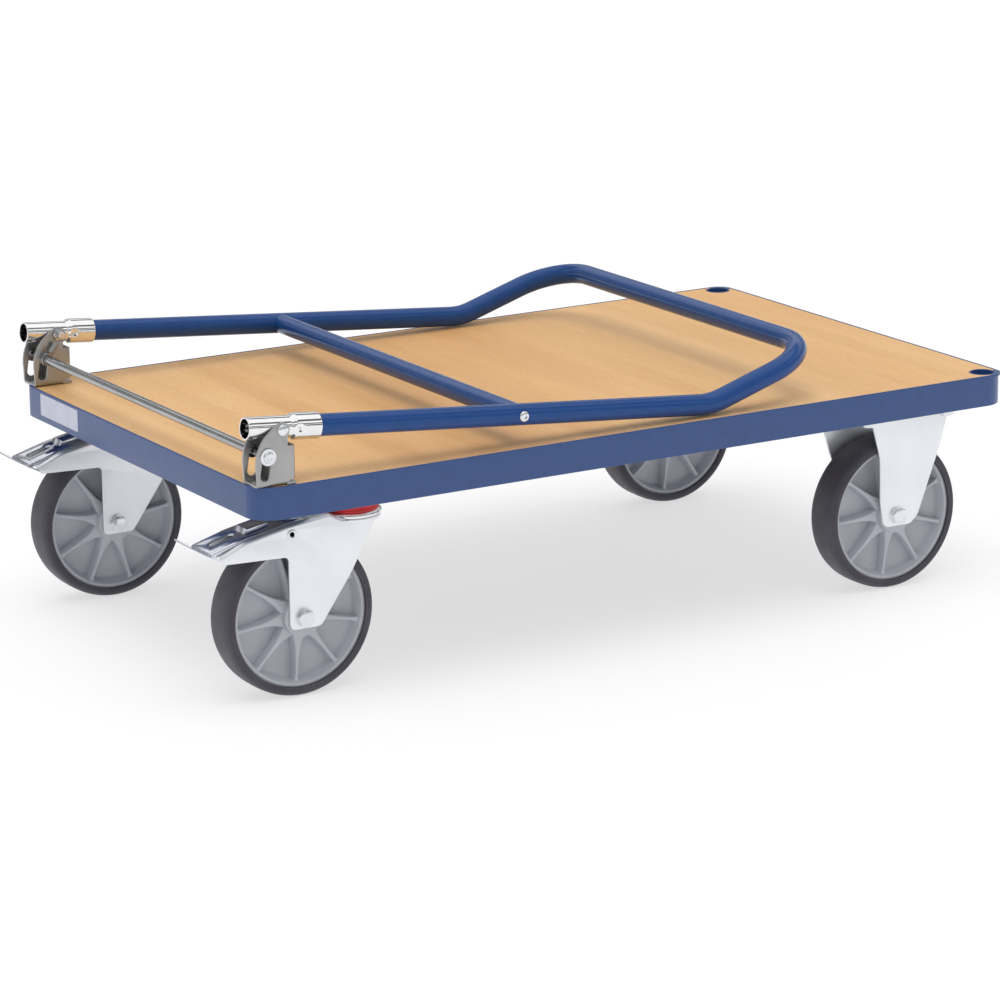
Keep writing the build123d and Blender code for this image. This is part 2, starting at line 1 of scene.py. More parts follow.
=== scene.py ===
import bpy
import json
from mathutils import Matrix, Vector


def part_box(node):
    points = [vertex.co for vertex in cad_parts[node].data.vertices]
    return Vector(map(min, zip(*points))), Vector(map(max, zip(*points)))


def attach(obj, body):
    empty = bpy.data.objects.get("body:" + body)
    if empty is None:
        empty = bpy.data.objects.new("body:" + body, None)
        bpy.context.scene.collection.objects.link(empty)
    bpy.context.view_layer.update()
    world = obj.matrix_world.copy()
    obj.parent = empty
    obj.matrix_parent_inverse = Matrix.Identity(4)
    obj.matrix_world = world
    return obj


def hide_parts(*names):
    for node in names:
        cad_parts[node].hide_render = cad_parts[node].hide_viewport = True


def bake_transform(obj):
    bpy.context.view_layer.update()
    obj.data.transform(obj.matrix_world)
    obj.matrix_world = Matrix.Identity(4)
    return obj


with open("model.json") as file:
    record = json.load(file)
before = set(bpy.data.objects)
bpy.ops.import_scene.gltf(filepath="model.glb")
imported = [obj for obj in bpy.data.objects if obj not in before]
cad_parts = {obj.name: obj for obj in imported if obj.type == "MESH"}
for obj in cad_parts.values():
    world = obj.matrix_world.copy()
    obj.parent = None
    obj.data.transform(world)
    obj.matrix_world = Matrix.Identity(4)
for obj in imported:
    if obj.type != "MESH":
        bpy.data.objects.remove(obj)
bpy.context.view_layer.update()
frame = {"nodes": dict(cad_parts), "record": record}

import json
import math

import bmesh
import bpy
from mathutils import Matrix, Vector

MM = 0.001  # sizes below are in millimetres
SIDES = (("near", -1), ("far", 1))
X, Y, Z = Vector((1, 0, 0)), Vector((0, 1, 0)), Vector((0, 0, 1))


def middle(node):
    low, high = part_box(node)
    return (low + high) / 2 / MM


# ==== materials ====


def add(tree, kind, settings=None, **inputs):
    """New node. Inputs are given by socket name, with _ for a space, or as i and the socket's
    number. Each is a value or another socket."""
    node = tree.nodes.new(kind)
    for key, value in (settings or {}).items():
        setattr(node, key, value)
    for key, value in inputs.items():
        socket = node.inputs[int(key[1:])] if key[0] == "i" and key[1:].isdigit() else \
            node.inputs[key.replace("_", " ")]
        if isinstance(value, bpy.types.NodeSocket):
            tree.links.new(value, socket)
        else:
            socket.default_value = value
    return node


def place(tree, scale):
    """Object coordinates in metres, stretched by scale."""
    coords = add(tree, "ShaderNodeTexCoord")
    return add(tree, "ShaderNodeMapping", Vector=coords.outputs["Object"],
               Scale=scale).outputs["Vector"]


def noise(tree, scale, size=1.0, detail=2.0, rough=0.5):
    return add(tree, "ShaderNodeTexNoise", Vector=place(tree, scale), Scale=size, Detail=detail,
               Roughness=rough).outputs["Fac"]


def ramp(tree, value, *stops):
    """Colour ramp; each stop is (position, colour or grey)."""
    node = add(tree, "ShaderNodeValToRGB", Fac=value)
    marks = node.color_ramp.elements
    while len(marks) < len(stops):
        marks.new(0.5)
    for mark, (position, tone) in zip(marks, stops):
        mark.position = position
        mark.color = (*tone, 1) if isinstance(tone, tuple) else (tone, tone, tone, 1)
    return node.outputs["Color"]


def mix(tree, factor, a, b, mode="MIX"):
    node = add(tree, "ShaderNodeMix", {"data_type": "RGBA", "blend_type": mode}, i0=factor)
    for socket, value in ((node.inputs[6], a), (node.inputs[7], b)):
        if isinstance(value, bpy.types.NodeSocket):
            tree.links.new(value, socket)
        else:
            socket.default_value = (*value, 1)
    return node.outputs[2]


def material(name, metallic=0.0, **constants):
    mat = bpy.data.materials.new(name)
    mat.use_nodes = True
    shader = mat.node_tree.nodes["Principled BSDF"]
    shader.inputs["Metallic"].default_value = metallic
    for key, value in constants.items():
        shader.inputs[key.replace("_", " ")].default_value = value
    return mat, mat.node_tree, shader


def dress(tree, shader, color, rough, bump=None, depth=0.0001):
    tree.links.new(color, shader.inputs["Base Color"])
    tree.links.new(rough, shader.inputs["Roughness"])
    if bump:
        normal = add(tree, "ShaderNodeBump", Height=bump, Distance=depth, Strength=1.0)
        tree.links.new(normal.outputs["Normal"], shader.inputs["Normal"])


def simple(name, dark, light, rough_low, rough_high, metallic=0.0, grain=(60, 60, 60),
           bump_scale=900, depth=0.00004, **constants):
    """Colour and roughness that drift a little over the surface, with a fine bump."""
    mat, tree, shader = material(name, metallic, **constants)
    drift = noise(tree, grain, detail=4)
    dress(tree, shader, ramp(tree, drift, (0.3, dark), (0.7, light)),
          ramp(tree, noise(tree, (25, 25, 25), detail=3), (0.3, rough_low), (0.7, rough_high)),
          noise(tree, (bump_scale,) * 3, detail=1), depth)
    return mat


def beech():
    """Beech veneer with its grain across the cart: broad brown streaks, fine fibres and flecks."""
    mat, tree, shader = material("beech_board", Specular_IOR_Level=0.4)
    broad = noise(tree, (5.5, 0.9, 1), detail=3, rough=0.45)
    bands = noise(tree, (28, 1.6, 1), detail=3, rough=0.55)
    fibre = noise(tree, (420, 9, 1), detail=3, rough=0.7)
    fleck = noise(tree, (1100, 90, 1), detail=1)
    tone = ramp(tree, broad, (0.3, (0.72, 0.385, 0.145)), (0.5, (0.84, 0.50, 0.215)),
                (0.72, (0.90, 0.56, 0.26)))
    tone = mix(tree, 0.55, tone, ramp(tree, bands, (0.3, (0.86, 0.80, 0.74)), (0.6, (1, 1, 1))),
               "MULTIPLY")
    tone = mix(tree, 0.5, tone, ramp(tree, fibre, (0.3, (0.90, 0.86, 0.81)), (0.65, (1, 1, 1))),
               "MULTIPLY")
    tone = mix(tree, 0.4, tone, ramp(tree, fleck, (0.30, (0.70, 0.55, 0.42)), (0.40, (1, 1, 1))),
               "MULTIPLY")
    # The underside, where the normal points down, is painted dark as painted shade, to keep the
    # board's orange bounce light off the floor and pedals.
    normal = add(tree, "ShaderNodeNewGeometry").outputs["Normal"]
    upward = add(tree, "ShaderNodeSeparateXYZ", Vector=normal).outputs["Z"]
    painted_shade_underside = add(tree, "ShaderNodeMath", {"operation": "LESS_THAN"}, i0=upward, i1=-0.5)
    tone = mix(tree, painted_shade_underside.outputs["Value"], tone, (0.17, 0.155, 0.145))
    dress(tree, shader, tone, ramp(tree, fibre, (0.3, 0.5), (0.7, 0.38)), fibre, 0.00003)
    return mat


paint = simple("blue_powder_coat", (0.019, 0.062, 0.205), (0.023, 0.070, 0.225), 0.30, 0.36,
               bump_scale=650, depth=0.00005, Specular_IOR_Level=0.5, Coat_Weight=0.15,
               Coat_Roughness=0.25)
gloss = simple("blue_powder_coat_tube", (0.012, 0.055, 0.205), (0.015, 0.062, 0.225), 0.20, 0.26,
               bump_scale=500, depth=0.00002, Specular_IOR_Level=0.45,
               Specular_Tint=(0.40, 0.58, 1.0, 1), Coat_Weight=0.16, Coat_Roughness=0.06)
chrome = simple("chrome_plate", (0.80, 0.80, 0.80), (0.86, 0.86, 0.85), 0.05, 0.10, 1.0,
                bump_scale=120, depth=0.00002)
zinc = simple("zinc_steel", (0.80, 0.82, 0.85), (0.86, 0.88, 0.91), 0.34, 0.40, 0.85,
              grain=(20, 20, 12), bump_scale=260, depth=0.00001)
pedal_steel = simple("zinc_pedal", (0.60, 0.62, 0.68), (0.72, 0.74, 0.80), 0.12, 0.20, 1.0,
                     grain=(30, 30, 30), bump_scale=260, depth=0.00001)
# Painted shade: near-black lining for the brake pins' bores, which are dark only from shadow.
shade = simple("painted_shade_bore", (0.012, 0.012, 0.014), (0.016, 0.016, 0.018), 0.6, 0.7)
satin = simple("satin_steel", (0.36, 0.36, 0.355), (0.42, 0.42, 0.415), 0.32, 0.38, 0.9,
               grain=(30, 30, 30), bump_scale=500, depth=0.00002)
bolts = simple("plated_fasteners", (0.70, 0.72, 0.75), (0.80, 0.82, 0.85), 0.16, 0.26, 1.0,
               bump_scale=500, depth=0.00002)
bar_steel = simple("zinc_bar", (0.34, 0.345, 0.35), (0.42, 0.425, 0.43), 0.10, 0.16, 1.0,
                   grain=(60, 20, 60), bump_scale=300, depth=0.00002)
wire = simple("spring_steel", (0.36, 0.36, 0.36), (0.48, 0.48, 0.47), 0.25, 0.35, 1.0)
rubber = simple("rubber_tyre", (0.054, 0.050, 0.064), (0.074, 0.069, 0.086), 0.46, 0.60,
                grain=(40, 40, 40), bump_scale=1500, depth=0.00008, Specular_IOR_Level=0.45)
plastic = simple("grey_plastic", (0.45, 0.465, 0.51), (0.50, 0.515, 0.56), 0.40, 0.50,
                 grain=(30, 30, 30), bump_scale=1300, depth=0.00006)
red = simple("red_plastic", (0.55, 0.012, 0.016), (0.66, 0.018, 0.022), 0.30, 0.40)
film = simple("label_film", (0.53, 0.55, 0.68), (0.60, 0.62, 0.74), 0.30, 0.38, bump_scale=300)
wood = beech()

LOOKS = {"blue_powder_coat": paint, "beech_board": wood, "label_film": film,
         "chrome_plate": chrome, "rubber_tyre": rubber, "grey_plastic": plastic,
         "red_plastic": red, "satin_steel": satin, "spring_steel": wire, "zinc_steel": zinc,
         "plated_fasteners": bolts}

# Every CAD node that stays gets the material of its slot.
for part in frame["record"]["subparts"]:
    mesh = frame["nodes"][part["node"]].data
    mesh.materials.clear()
    mesh.materials.append(LOOKS[part["material_slot"]])

# ==== mesh tools ====


def rounded(points, radii, closed=True, step=10):
    """Points with their corners turned into arcs, step degrees to a segment."""
    points = [Vector(p).to_3d() for p in points]
    radii = [radii] * len(points) if isinstance(radii, (int, float)) else radii
    out = []
    for i, (p, radius) in enumerate(zip(points, radii)):
        a, b = points[i - 1] - p, points[(i + 1) % len(points)] - p
        turn = math.pi - a.angle(b)
        if radius <= 0 or turn < 0.02 or not (closed or 0 < i < len(points) - 1):
            out.append(p)
            continue
        reach = min(radius * math.tan(turn / 2), 0.96 * min(a.length, b.length))
        radius = reach / math.tan(turn / 2)
        a, b = a.normalized(), b.normalized()
        centre = p + (a + b).normalized() * (radius / math.cos(turn / 2))
        u, v = p + a * reach - centre, p + b * reach - centre
        count = max(2, math.ceil(math.degrees(turn) / step))
        for k in range(count + 1):
            t = k / count
            out.append(centre + (u * math.sin((1 - t) * turn) + v * math.sin(t * turn))
                       / math.sin(turn))
    return out


def dense(points, gap, closed=False):
    """Points with more put between any two that are further apart than gap."""
    out = []
    ends = points[1:] + points[:1] if closed else points[1:]
    for a, b in zip(points, ends):
        count = max(1, math.ceil((b - a).length / gap))
        out += [a.lerp(b, k / count) for k in range(count)]
    return out if closed else out + [points[-1]]


def skin(bm, rings, loop=False, caps=True):
    """Faces between rings of vertices. Each ring is closed; loop joins the last to the first."""
    rings = [[bm.verts.new(p * MM) for p in ring] for ring in rings]
    pairs = list(zip(rings, rings[1:])) + ([(rings[-1], rings[0])] if loop else [])
    for a, b in pairs:
        for i in range(len(a)):
            j = (i + 1) % len(a)
            bm.faces.new((a[i], a[j], b[j], b[i]))
    if caps and not loop:
        bm.faces.new(rings[0])
        bm.faces.new(list(reversed(rings[-1])))
    return bm


def lathe(bm, profile, origin, axis, steps=72):
    """Closed profile of (along, radius) turned round an axis. It may be a function of the angle."""
    axis = Vector(axis).normalized()
    side = Z if abs(axis.z) < 0.9 else X
    side = (side - axis * side.dot(axis)).normalized()
    up = axis.cross(side)
    rings = []
    for k in range(steps):
        angle = math.tau * k / steps
        out = side * math.cos(angle) + up * math.sin(angle)
        points = profile(angle) if callable(profile) else profile
        rings.append([Vector(origin) + axis * p[0] + out * p[1] for p in points])
    skin(bm, rings, loop=True)
    return bm


def tube(bm, path, radius, steps=32):
    """Round bar along a path."""
    rings, normal, last = [], None, None
    for i, p in enumerate(path):
        along = (path[min(i + 1, len(path) - 1)] - path[max(i - 1, 0)]).normalized()
        normal = along.orthogonal().normalized() if normal is None else \
            last.rotation_difference(along) @ normal
        last = along
        side = along.cross(normal)
        rings.append([p + (normal * math.cos(a) + side * math.sin(a)) * radius
                      for a in (math.tau * k / steps for k in range(steps))])
    return skin(bm, rings)


def hexagon(bm, base, axis, flats, height, bore=0.0, both=False, turn=0.0):
    """Hex head or nut standing on base, with chamfered corners."""
    top = flats / 2 * 0.96

    def profile(angle):
        corner = flats / 2 / math.cos((angle + turn + math.pi / 6) % (math.pi / 3) - math.pi / 6)
        drop = (corner - top) * 0.55
        low = [(0, top), (drop, corner)] if both else [(0, corner)]
        return [(0, bore), *low, (height - drop, corner), (height, top), (height, bore)]
    return lathe(bm, profile, base, axis, 72)


def shank(bm, base, axis, radius, length, chamfer, steps):
    """Plain round shaft with a chamfered tip."""
    return lathe(bm, rounded([(0, 0), (0, radius), (length, radius), (length, 0)],
                             [0, 0, chamfer, 0]), base, axis, steps)


def plate(bm, outline, thickness, matrix, holes=(), bevel=0.5):
    """Flat sheet with softened edges. Outline and holes lie in the matrix's X, Y plane, and the
    sheet is centred on it."""
    curve = bpy.data.curves.new("sheet", "CURVE")
    curve.dimensions, curve.fill_mode = "2D", "BOTH"
    curve.extrude = (thickness / 2 - bevel) * MM
    curve.bevel_depth, curve.bevel_resolution, curve.offset = bevel * MM, 2, -bevel * MM
    for loop in (outline, *holes):
        spline = curve.splines.new("POLY")
        spline.points.add(len(loop) - 1)
        for point, p in zip(spline.points, loop):
            point.co = (p[0] * MM, p[1] * MM, 0, 1)
        spline.use_cyclic_u = True
    holder = bpy.data.objects.new("sheet", curve)
    mesh = bpy.data.meshes.new_from_object(holder)
    scaled = matrix.copy()
    scaled.translation *= MM
    mesh.transform(scaled)
    bm.from_mesh(mesh)
    bpy.data.meshes.remove(mesh)
    bpy.data.objects.remove(holder)
    bpy.data.curves.remove(curve)
    return bm


def plane_at(origin, x_dir, y_dir):
    """Matrix whose X and Y columns are the two directions."""
    x_dir, y_dir = Vector(x_dir), Vector(y_dir)
    matrix = Matrix((x_dir, y_dir, x_dir.cross(y_dir))).transposed().to_4x4()
    matrix.translation = Vector(origin)
    return matrix


def side_view(y):
    """Local X is the cart's X and local Y its Z, in the plane at that y."""
    return plane_at((0, y, 0), X, Z)


def ring_points(x, y, radius, count=40):
    return [(x + radius * math.cos(math.tau * k / count), y + radius * math.sin(math.tau * k / count))
            for k in range(count)]


def bolt_holes(reach_x, reach_y):
    """Four holes round the middle of a caster's top plate."""
    return [ring_points(i * reach_x, j * reach_y, 5.5, 24) for i in (-1, 1) for j in (-1, 1)]


def slot_points(x, z, length, width, lean=0.0):
    """Round-ended slot with its long way up, leaned by that many radians."""
    out = []
    for k in range(32):
        a = math.tau * k / 32
        px = width / 2 * math.cos(a)
        pz = width / 2 * math.sin(a) + (length / 2 - width / 2) * (1 if math.sin(a) >= 0 else -1)
        out.append((x + px * math.cos(lean) + pz * math.sin(lean),
                    z - px * math.sin(lean) + pz * math.cos(lean)))
    return out


def box_mesh(low, high):
    bm = bmesh.new()
    bmesh.ops.create_cube(bm, size=1)
    for v in bm.verts:
        v.co = Vector([(low[i] + (v.co[i] + 0.5) * (high[i] - low[i])) * MM for i in range(3)])
    return bm


def tidy(bm):
    bmesh.ops.remove_doubles(bm, verts=bm.verts, dist=2e-6)
    bmesh.ops.recalc_face_normals(bm, faces=bm.faces)
    return bm


def boolean(bm, tool, operation="DIFFERENCE"):
    """One solid cut by another, joined with it, or kept where both are."""
    holders = []
    for source in (bm, tool):
        mesh = bpy.data.meshes.new("solid")
        tidy(source).to_mesh(mesh)
        source.free()
        holder = bpy.data.objects.new("solid", mesh)
        bpy.context.scene.collection.objects.link(holder)
        holders.append(holder)
    cut = holders[0].modifiers.new("cut", "BOOLEAN")
    cut.operation, cut.object, cut.solver = operation, holders[1], "EXACT"
    bpy.context.view_layer.update()
    result = bpy.data.meshes.new_from_object(
        holders[0].evaluated_get(bpy.context.evaluated_depsgraph_get()))
    out = bmesh.new()
    out.from_mesh(result)
    bpy.data.meshes.remove(result)
    for holder in holders:
        mesh = holder.data
        bpy.data.objects.remove(holder)
        bpy.data.meshes.remove(mesh)
    return out


def soften(bm, width, angle=35):
    """Small bevel on the sharp edges."""
    tidy(bm)
    bmesh.ops.dissolve_limit(bm, angle_limit=math.radians(1), verts=bm.verts, edges=bm.edges)
    edges = [e for e in bm.edges if len(e.link_faces) == 2
             and e.calc_face_angle(0) > math.radians(angle)]
    bmesh.ops.bevel(bm, geom=edges, offset=width * MM, segments=2, profile=0.6,
                    affect="EDGES", clamp_overlap=True)
    return bm


def piece(name, bm, body, slot, *nodes, look=None, sharp=35):
    """Object made from the mesh; it rides on the body and stands for the CAD nodes."""
    tidy(bm)
    mesh = bpy.data.meshes.new(name)
    bm.to_mesh(mesh)
    bm.free()
    mesh.polygons.foreach_set("use_smooth", [True] * len(mesh.polygons))
    mesh.set_sharp_from_angle(angle=math.radians(sharp))
    mesh.materials.append(look or LOOKS[slot])
    obj = bpy.data.objects.new(name, mesh)
    bpy.context.scene.collection.objects.link(obj)
    if body:
        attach(obj, body)
    if nodes:
        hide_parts(*nodes)
    return obj


# ==== platform ====

deck_low, deck_high = (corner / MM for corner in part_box("frame"))
deck = (deck_low + deck_high) / 2
half_length, half_width = (deck_high.x - deck_low.x) / 2, (deck_high.y - deck_low.y) / 2
deck_top, frame_z = deck_high.z, deck_low.z
CORNER = 32.0  # radius of the frame's corners
SHEET = 3.0  # thickness of the frame's, the brackets' and the forks' sheet
LEDGE_TOP, LEDGE_REACH = deck_top - 15, 31  # the board rests on this
SEAM = 1.4  # how far a corner plate stays inside the frame's outer face
SOCKET_R, SOCKET_HOLE_R = 16.85, 16.95

# Face of the frame and the board ledge inside it, as (inset from the outer face, height).
profile = rounded(
    [(0, frame_z), (0, deck_top), (SHEET, deck_top), (SHEET, LEDGE_TOP), (LEDGE_REACH, LEDGE_TOP),
     (LEDGE_REACH, LEDGE_TOP - SHEET), (SHEET, LEDGE_TOP - SHEET), (SHEET, frame_z)],
    [0.9, 1.3, 0.9, 1, 0.5, 0.5, 1, 0.9], step=22)
rings = []
for k in range(4):
    corner = Vector((deck.x + (half_length - CORNER) * (1, -1, -1, 1)[k],
                     (half_width - CORNER) * (1, 1, -1, -1)[k], 0))
    for j in range(19):
        angle = math.pi / 2 * (k + j / 18)
        out = Vector((math.cos(angle), math.sin(angle), 0))
        rings.append([corner + out * (CORNER - p.x) + Z * p.y for p in profile])
frame_mesh = skin(bmesh.new(), rings, loop=True)
sockets = {name: middle(f"corner_socket_{name}") for name, side in SIDES}
for name, spot in sockets.items():
    # Small top plate in the corner, joined with the sheet, then the hole for the socket.
    edge_x, edge_y = deck_high.x - SEAM, math.copysign(half_width - SEAM, spot.y)
    corner_plate = rounded([(spot.x, spot.y), (edge_x, spot.y), (edge_x, edge_y), (spot.x, edge_y)],
                           [0, 0, CORNER - SEAM, 0])
    gusset = plate(bmesh.new(), corner_plate, SHEET,
                   plane_at((0, 0, deck_top - SHEET / 2), X, Y), bevel=0.0)
    frame_mesh = boolean(frame_mesh, gusset, "UNION")
    cutter = lathe(bmesh.new(), [(0, 0), (0, SOCKET_HOLE_R), (60, SOCKET_HOLE_R), (60, 0)],
                   (spot.x, spot.y, frame_z - 10), Z, 96)
    frame_mesh = boolean(frame_mesh, cutter)
piece("frame_profile", frame_mesh, "chassis", "blue_powder_coat", "frame", look=paint)

for name, spot in sockets.items():
    bm = lathe(bmesh.new(), rounded([(0, 14.55), (0, SOCKET_R), (40, SOCKET_R), (40, 14.55)],
                                    [0.5, 0.5, 0.9, 0.9]), (spot.x, spot.y, frame_z), Z, 96)
    piece(f"socket_{name}", bm, "chassis", "blue_powder_coat", f"corner_socket_{name}", look=paint)

# ==== hinge brackets ====

pivot = middle("pivot_nuts")
bar = middle("release_bar")
CHEEK_IN, CHEEK_OUT = 293.0, 323.0  # the faces of the two cheeks that look at each other
HEAD = 9.3  # radius of the cheek's round head
front_x = deck_low.x + 3.0
wall_x = pivot.x + 13.1
lean = math.radians(10)  # of the slots, from the upright
slide = Vector((-math.sin(lean), 0, -math.cos(lean)))
# How far the slots' middle line goes above and below the bar at rest, and their width.
above_bar, below_bar, slot_width = 1.6, 24.6 - 2.0, 12.8


def arc_through(a, b, c, count=10):
    """Points of the circle arc from a through b to c, in a plane."""
    (ax, ay), (bx, by), (cx, cy) = a, b, c
    d = 2 * (ax * (by - cy) + bx * (cy - ay) + cx * (ay - by))
    ux = ((ax**2 + ay**2) * (by - cy) + (bx**2 + by**2) * (cy - ay)
          + (cx**2 + cy**2) * (ay - by)) / d
    uy = ((ax**2 + ay**2) * (cx - bx) + (bx**2 + by**2) * (ax - cx)
          + (cx**2 + cy**2) * (bx - ax)) / d
    radius = math.hypot(ax - ux, ay - uy)
    start, end = math.atan2(ay - uy, ax - ux), math.atan2(cy - uy, cx - ux)
    mid = math.atan2(by - uy, bx - ux)
    if (mid - start) % math.tau > (end - start) % math.tau:
        sweep = -((start - end) % math.tau)
    else:
        sweep = (end - start) % math.tau
    return [(ux + radius * math.cos(start + sweep * k / count),
             uy + radius * math.sin(start + sweep * k / count)) for k in range(count + 1)]


def prism(outline, thickness, matrix, holes=()):
    return plate(bmesh.new(), outline, thickness, matrix, holes, bevel=0.0)


cheek = [(front_x, deck_top), (front_x - 0.8, deck_top + 19)]
cheek += arc_through((front_x - 0.8, deck_top + 19), (front_x + 6.5, deck_top + 53.5),
                     (pivot.x - 6.6, pivot.z + 6.6))[1:]
cheek += arc_through((pivot.x - 6.6, pivot.z + 6.6), (pivot.x, pivot.z + HEAD),
                     (pivot.x + HEAD, pivot.z))[1:]
cheek += [(pivot.x + 6, pivot.z - 12), (pivot.x + 6, deck_top + 46.5),
          (wall_x + SHEET, deck_top + 46.5), (wall_x + SHEET, deck_top + 8),
          (wall_x - 5.5, deck_top + 4), (wall_x - 5.5, deck_top + 3),
          (wall_x + SHEET, deck_top + 3), (wall_x + SHEET, deck_top)]
slot_mid = Vector((bar.x, 0, bar.z)) + slide * ((below_bar - above_bar) / 2)
slot_hole = slot_points(slot_mid.x, slot_mid.z, below_bar + above_bar + slot_width, slot_width, lean)
pin_hole = ring_points(pivot.x, pivot.z, 5.05)

for name, side in SIDES:
    inner, outer = side * (CHEEK_IN - SHEET), side * (CHEEK_OUT + SHEET)
    mid_y = (inner + outer) / 2
    half = abs(outer - inner) / 2
    # Tray section bent up along the foot, then the same cheeks bent round the rear wall.
    foot = rounded([(-half, 0), (half, 0), (half, 90), (half - SHEET, 90), (half - SHEET, SHEET),
                    (-half + SHEET, SHEET), (-half + SHEET, 90), (-half, 90)],
                   [4.5, 4.5, 0, 0, 1.6, 1.6, 0, 0], step=15)
    long = wall_x - 5.4 - (front_x - 3)
    shell = prism(foot, long, plane_at((front_x - 3 + long / 2, mid_y, deck_top), Y, Z))
    rear = rounded([(front_x + 2, -half), (wall_x + SHEET, -half), (wall_x + SHEET, half),
                    (front_x + 2, half), (front_x + 2, half - SHEET), (wall_x, half - SHEET),
                    (wall_x, -half + SHEET), (front_x + 2, -half + SHEET)],
                   [0, 3.6, 3.6, 0, 0, 0.8, 0.8, 0], step=15)
    shell = boolean(shell, prism(rear, 86, plane_at((0, mid_y, deck_top + 6 + 43), X, Y)), "UNION")
    shell = boolean(shell, box_mesh((wall_x - 9, mid_y - half, deck_top),
                                    (wall_x + SHEET, mid_y + half, deck_top + SHEET)), "UNION")
    shell = boolean(shell, prism(cheek, 60, side_view(mid_y), (slot_hole, pin_hole)), "INTERSECT")
    piece(f"hinge_bracket_{name}_sheet", soften(shell, 0.45), "chassis", "satin_steel",
          f"hinge_bracket_{name}")

    # Pivot bolt with a domed head.
    dome = [(-0.2, 0), (-0.2, 7.2), (0.9, 7.2)]
    dome += [(0.9 + 3.5 * math.sin(a), 7.2 * math.cos(a)) for a in (0.25, 0.5, 0.8, 1.1, 1.35)]
    dome += [(4.4, 0)]
    bm = lathe(bmesh.new(), dome, (pivot.x, outer, pivot.z), (0, side, 0), 48)
    shank(bm, (pivot.x, outer, pivot.z), (0, -side, 0), 5, 48, 1, 40)
    piece(f"pivot_bolt_{name}_dome", bm, "chassis", "plated_fasteners", f"pivot_bolt_{name}")

bm = bmesh.new()
for name, side in SIDES:
    hexagon(bm, (pivot.x, side * (CHEEK_IN - SHEET), pivot.z), (0, -side, 0), 13.86, 3.0, 5.0, True)
piece("pivot_nuts_hex", bm, "chassis", "plated_fasteners", "pivot_nuts")


def pan_head(bm, base, axis, radius, height, shank, length):
    """Pan-head screw with a hex recess."""
    def profile(angle):
        socket = 2.5 / math.cos((angle + math.pi / 6) % (math.pi / 3) - math.pi / 6)
        socket = socket * radius / 6.6
        return [(-length, 0), (-length, shank), (0, shank), (0, radius), (height * 0.35, radius),
                (height * 0.7, radius * 0.9), (height * 0.93, radius * 0.7),
                (height, socket + 0.5), (height - 0.25, socket), (height * 0.35, socket * 0.96),
                (height * 0.35, 0)]
    return lathe(bm, profile, base, axis, 48)


bm = bmesh.new()
for offset in (-526.0, -504.0):
    for name, side in SIDES:
        pan_head(bm, (deck.x + offset, side * 308, deck_top + SHEET), Z, 5.0, 2.5, 3.0, 16.5)
piece("bracket_screws_pan", bm, "chassis", "plated_fasteners", "bracket_screws")

# ==== push bow ====

LEG_Y = 308.0
BOW_R, BRACE_R = 13.45, 12.5
leg_dir = Vector((math.cos(math.radians(5)), 0, -math.sin(math.radians(5))))
top_dir = Vector((math.cos(math.radians(17.4)), 0, math.sin(math.radians(17.4))))
origin = Vector((pivot.x, 0, pivot.z))
start, knee = origin + leg_dir * 21, origin + leg_dir * 610
crown = knee + top_dir * 168
brace, rivet = origin + leg_dir * 330.5, origin + leg_dir * 24.5
route = [p + Y * LEG_Y * side for p, side in
         ((start, -1), (knee, -1), (crown, -1), (crown, 1), (knee, 1), (start, 1))]
path = dense(rounded(route, [0, 90, 70, 70, 90, 0], closed=False, step=3), 40)
piece("push_bow_tube", tube(bmesh.new(), path, BOW_R, 48), "bow", "blue_powder_coat", "push_bow",
      look=gloss)

bm = lathe(bmesh.new(), rounded([(-LEG_Y + 4, 3.05), (-LEG_Y + 4, BRACE_R), (LEG_Y - 4, BRACE_R),
                                 (LEG_Y - 4, 3.05)], 0), brace, Y, 48)
piece("cross_brace_tube", bm, "bow", "blue_powder_coat", "cross_brace", look=gloss)

bm = bmesh.new()
for name, side in SIDES:
    pan_head(bm, brace + Y * side * (LEG_Y + 13.2), Y * side, 6.6, 3.4, 3.0, 40)
piece("brace_screws_pan", bm, "bow", "plated_fasteners", "brace_screws")

for name, side in SIDES:
    line = rounded([(-41, 11.5), (-41, 13.5), (16.5, 13.5), (20.5, 16.25), (54, 16.25),
                    (54, 13.5), (21, 13.5), (18, 11.5)],
                   [0.6, 0.8, 4, 4, 0.9, 0.3, 0.3, 2], step=12)
    bm = lathe(bmesh.new(), dense(line, 1.6, closed=True), origin + Y * side * LEG_Y, leg_dir, 96)
    tidy(bm)
    dimple_r, dimple_depth = 7, 2.4
    for way in (-1, 1):  # crimp dimple on both sides, where the tube widens
        spot = rivet + Y * (side * LEG_Y + way * 16.0)
        for v in bm.verts:
            gap = (v.co / MM - spot).length
            if gap < dimple_r:
                v.co.y -= way * dimple_depth * (1 - (gap / dimple_r) ** 2) ** 2 * MM
    pin = lathe(bmesh.new(), [(-30, 0), (-30, 5.05), (30, 5.05), (30, 0)],
                origin + Y * side * LEG_Y, Y, 40)
    piece(f"hinge_tube_{name}_turned", boolean(bm, pin), "bow", "chrome_plate",
          f"hinge_tube_{name}", sharp=40)

bm = bmesh.new()
for name, side in SIDES:
    for way in (-1, 1):
        base = rivet + Y * (side * LEG_Y + way * 13.0)
        dome = [(0, 0), (0, 2.6), (0.5, 2.6), (1.2, 2.1), (1.6, 1.1), (1.7, 0)]
        lathe(bm, dome, base, Y * way, 24)
piece("leg_rivets_dome", bm, "bow", "plated_fasteners", "leg_rivets")

# ==== release bar ====

